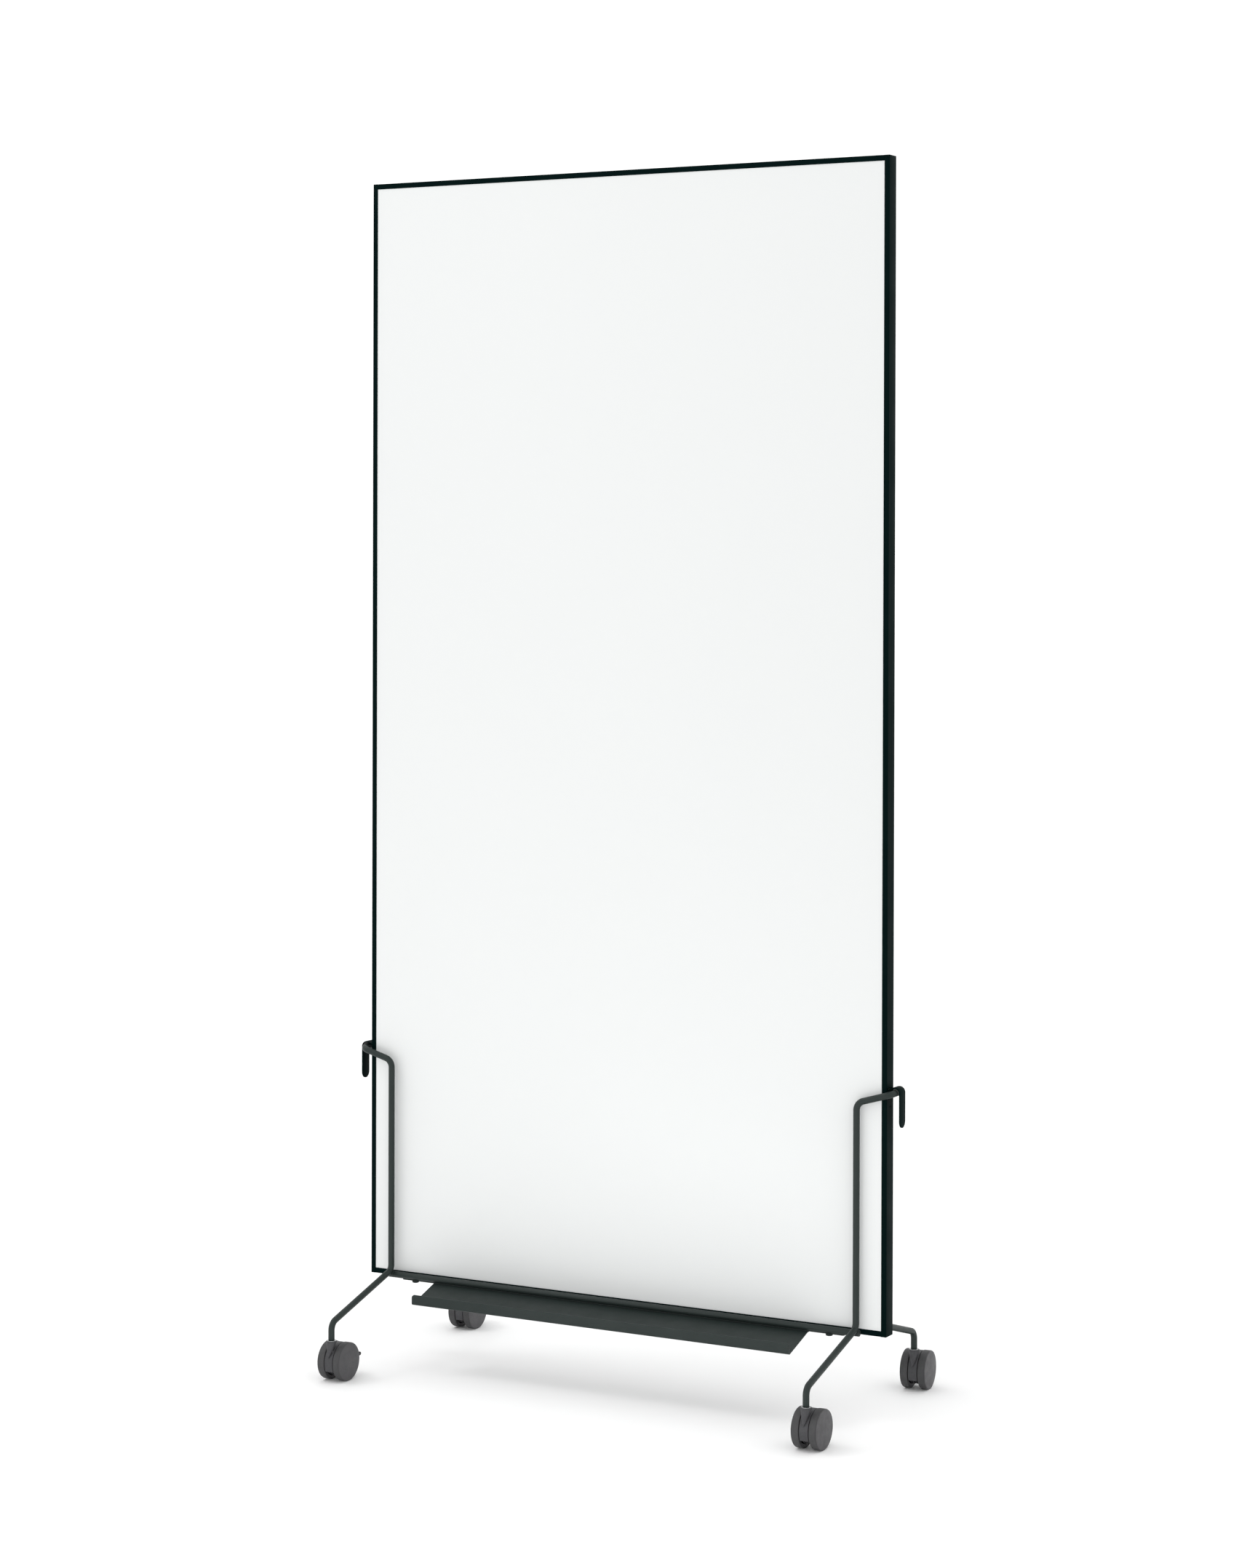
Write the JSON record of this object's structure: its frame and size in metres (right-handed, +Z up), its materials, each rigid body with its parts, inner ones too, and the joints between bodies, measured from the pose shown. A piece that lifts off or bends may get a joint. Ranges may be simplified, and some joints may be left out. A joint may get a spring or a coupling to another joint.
{
  "type": "rolling whiteboard",
  "caption": "Tall framed whiteboard hung by side hooks between two bent rod legs on twin-wheel swivel casters, with a sloping pen tray below.",
  "frame": {"origin": "on the floor, at the middle of the whole object's footprint box", "axes": "+Z up; +X along the board to the right seen from the tray side; -Y towards the tray side (front)"},
  "size_m": [0.955, 0.471, 1.9025],
  "materials": {
    "leg_paint": "satin dark grey-green powder coat",
    "frame_paint": "satin near-black",
    "writing_enamel": "semi-gloss off-white enamel",
    "core_board": "raw fibreboard",
    "bare_steel": "zinc plated",
    "bright_steel": "bright plated",
    "saddle_nylon": "matt",
    "caster_plastic": "matt, lightly textured",
    "wheel_plastic": "matt, lightly textured",
    "tread_rubber": "matt soft polyurethane",
    "pedal_plastic": "matt"
  },
  "bodies": {
    "stand": {"left_leg": "leg_paint", "right_leg": "leg_paint", "front_crossbar": "leg_paint", "rear_crossbar": "leg_paint", "joining_strip": "leg_paint", "strip_screws": "leg_paint", "pen_tray": "leg_paint", "tray_screws": "leg_paint"},
    "board": {"left_stile": "frame_paint", "right_stile": "frame_paint", "top_rail": "frame_paint", "bottom_rail": "frame_paint", "panel_core": "core_board", "front_sheet": "writing_enamel", "rear_sheet": "writing_enamel", "corner_brackets": "bare_steel", "left_hook": "frame_paint", "right_hook": "frame_paint", "hook_saddles": "saddle_nylon", "hook_screws": "frame_paint"},
    "front_left_swivel": {"front_left_housing": "caster_plastic", "front_left_stem_bush": "bright_steel", "front_left_grip_ring": "bare_steel", "front_left_axle": "bare_steel", "front_left_brake_pin": "bare_steel"},
    "front_left_inner_roller": {"front_left_inner_wheel": "wheel_plastic", "front_left_inner_tyre": "tread_rubber"},
    "front_left_outer_roller": {"front_left_outer_wheel": "wheel_plastic", "front_left_outer_tyre": "tread_rubber"},
    "front_left_pedal": {"front_left_brake_pedal": "pedal_plastic"},
    "front_right_swivel": {"front_right_housing": "caster_plastic", "front_right_stem_bush": "bright_steel", "front_right_grip_ring": "bare_steel", "front_right_axle": "bare_steel"},
    "front_right_inner_roller": {"front_right_inner_wheel": "wheel_plastic", "front_right_inner_tyre": "tread_rubber"},
    "front_right_outer_roller": {"front_right_outer_wheel": "wheel_plastic", "front_right_outer_tyre": "tread_rubber"},
    "rear_left_swivel": {"rear_left_housing": "caster_plastic", "rear_left_stem_bush": "bright_steel", "rear_left_grip_ring": "bare_steel", "rear_left_axle": "bare_steel", "rear_left_brake_pin": "bare_steel"},
    "rear_left_inner_roller": {"rear_left_inner_wheel": "wheel_plastic", "rear_left_inner_tyre": "tread_rubber"},
    "rear_left_outer_roller": {"rear_left_outer_wheel": "wheel_plastic", "rear_left_outer_tyre": "tread_rubber"},
    "rear_left_pedal": {"rear_left_brake_pedal": "pedal_plastic"},
    "rear_right_swivel": {"rear_right_housing": "caster_plastic", "rear_right_stem_bush": "bright_steel", "rear_right_grip_ring": "bare_steel", "rear_right_axle": "bare_steel"},
    "rear_right_inner_roller": {"rear_right_inner_wheel": "wheel_plastic", "rear_right_inner_tyre": "tread_rubber"},
    "rear_right_outer_roller": {"rear_right_outer_wheel": "wheel_plastic", "rear_right_outer_tyre": "tread_rubber"}
  },
  "joints": [
    {"name": "board_lift", "type": "slide", "parent": "stand", "child": "board", "axis": [0, 0, 1], "range_m": [0, 0.4]},
    {"name": "front_left_swivel", "type": "hinge", "parent": "stand", "child": "front_left_swivel", "pos_m": [-0.412, -0.2255, 0.05], "axis": [0, 0, 1], "continuous": true},
    {"name": "front_left_inner_roll", "type": "hinge", "parent": "front_left_swivel", "child": "front_left_inner_roller", "pos_m": [-0.412, -0.2055, 0.03], "axis": [1, 0, 0], "continuous": true},
    {"name": "front_left_outer_roll", "type": "hinge", "parent": "front_left_swivel", "child": "front_left_outer_roller", "pos_m": [-0.412, -0.2055, 0.03], "axis": [1, 0, 0], "continuous": true},
    {"name": "front_left_brake", "type": "hinge", "parent": "front_left_swivel", "child": "front_left_pedal", "pos_m": [-0.412, -0.1875, 0.0325], "axis": [1, 0, 0], "range_deg": [0, 14]},
    {"name": "front_right_swivel", "type": "hinge", "parent": "stand", "child": "front_right_swivel", "pos_m": [0.412, -0.2255, 0.05], "axis": [0, 0, 1], "continuous": true},
    {"name": "front_right_inner_roll", "type": "hinge", "parent": "front_right_swivel", "child": "front_right_inner_roller", "pos_m": [0.412, -0.2055, 0.03], "axis": [1, 0, 0], "continuous": true},
    {"name": "front_right_outer_roll", "type": "hinge", "parent": "front_right_swivel", "child": "front_right_outer_roller", "pos_m": [0.412, -0.2055, 0.03], "axis": [1, 0, 0], "continuous": true},
    {"name": "rear_left_swivel", "type": "hinge", "parent": "stand", "child": "rear_left_swivel", "pos_m": [-0.412, 0.1685, 0.05], "axis": [0, 0, 1], "continuous": true},
    {"name": "rear_left_inner_roll", "type": "hinge", "parent": "rear_left_swivel", "child": "rear_left_inner_roller", "pos_m": [-0.412, 0.1885, 0.03], "axis": [1, 0, 0], "continuous": true},
    {"name": "rear_left_outer_roll", "type": "hinge", "parent": "rear_left_swivel", "child": "rear_left_outer_roller", "pos_m": [-0.412, 0.1885, 0.03], "axis": [1, 0, 0], "continuous": true},
    {"name": "rear_left_brake", "type": "hinge", "parent": "rear_left_swivel", "child": "rear_left_pedal", "pos_m": [-0.412, 0.2065, 0.0325], "axis": [1, 0, 0], "range_deg": [0, 14]},
    {"name": "rear_right_swivel", "type": "hinge", "parent": "stand", "child": "rear_right_swivel", "pos_m": [0.412, 0.1685, 0.05], "axis": [0, 0, 1], "continuous": true},
    {"name": "rear_right_inner_roll", "type": "hinge", "parent": "rear_right_swivel", "child": "rear_right_inner_roller", "pos_m": [0.41026, 0.18842, 0.03], "axis": [0.9962, 0.0872, 0], "continuous": true},
    {"name": "rear_right_outer_roll", "type": "hinge", "parent": "rear_right_swivel", "child": "rear_right_outer_roller", "pos_m": [0.41026, 0.18842, 0.03], "axis": [0.9962, 0.0872, 0], "continuous": true}
  ]
}
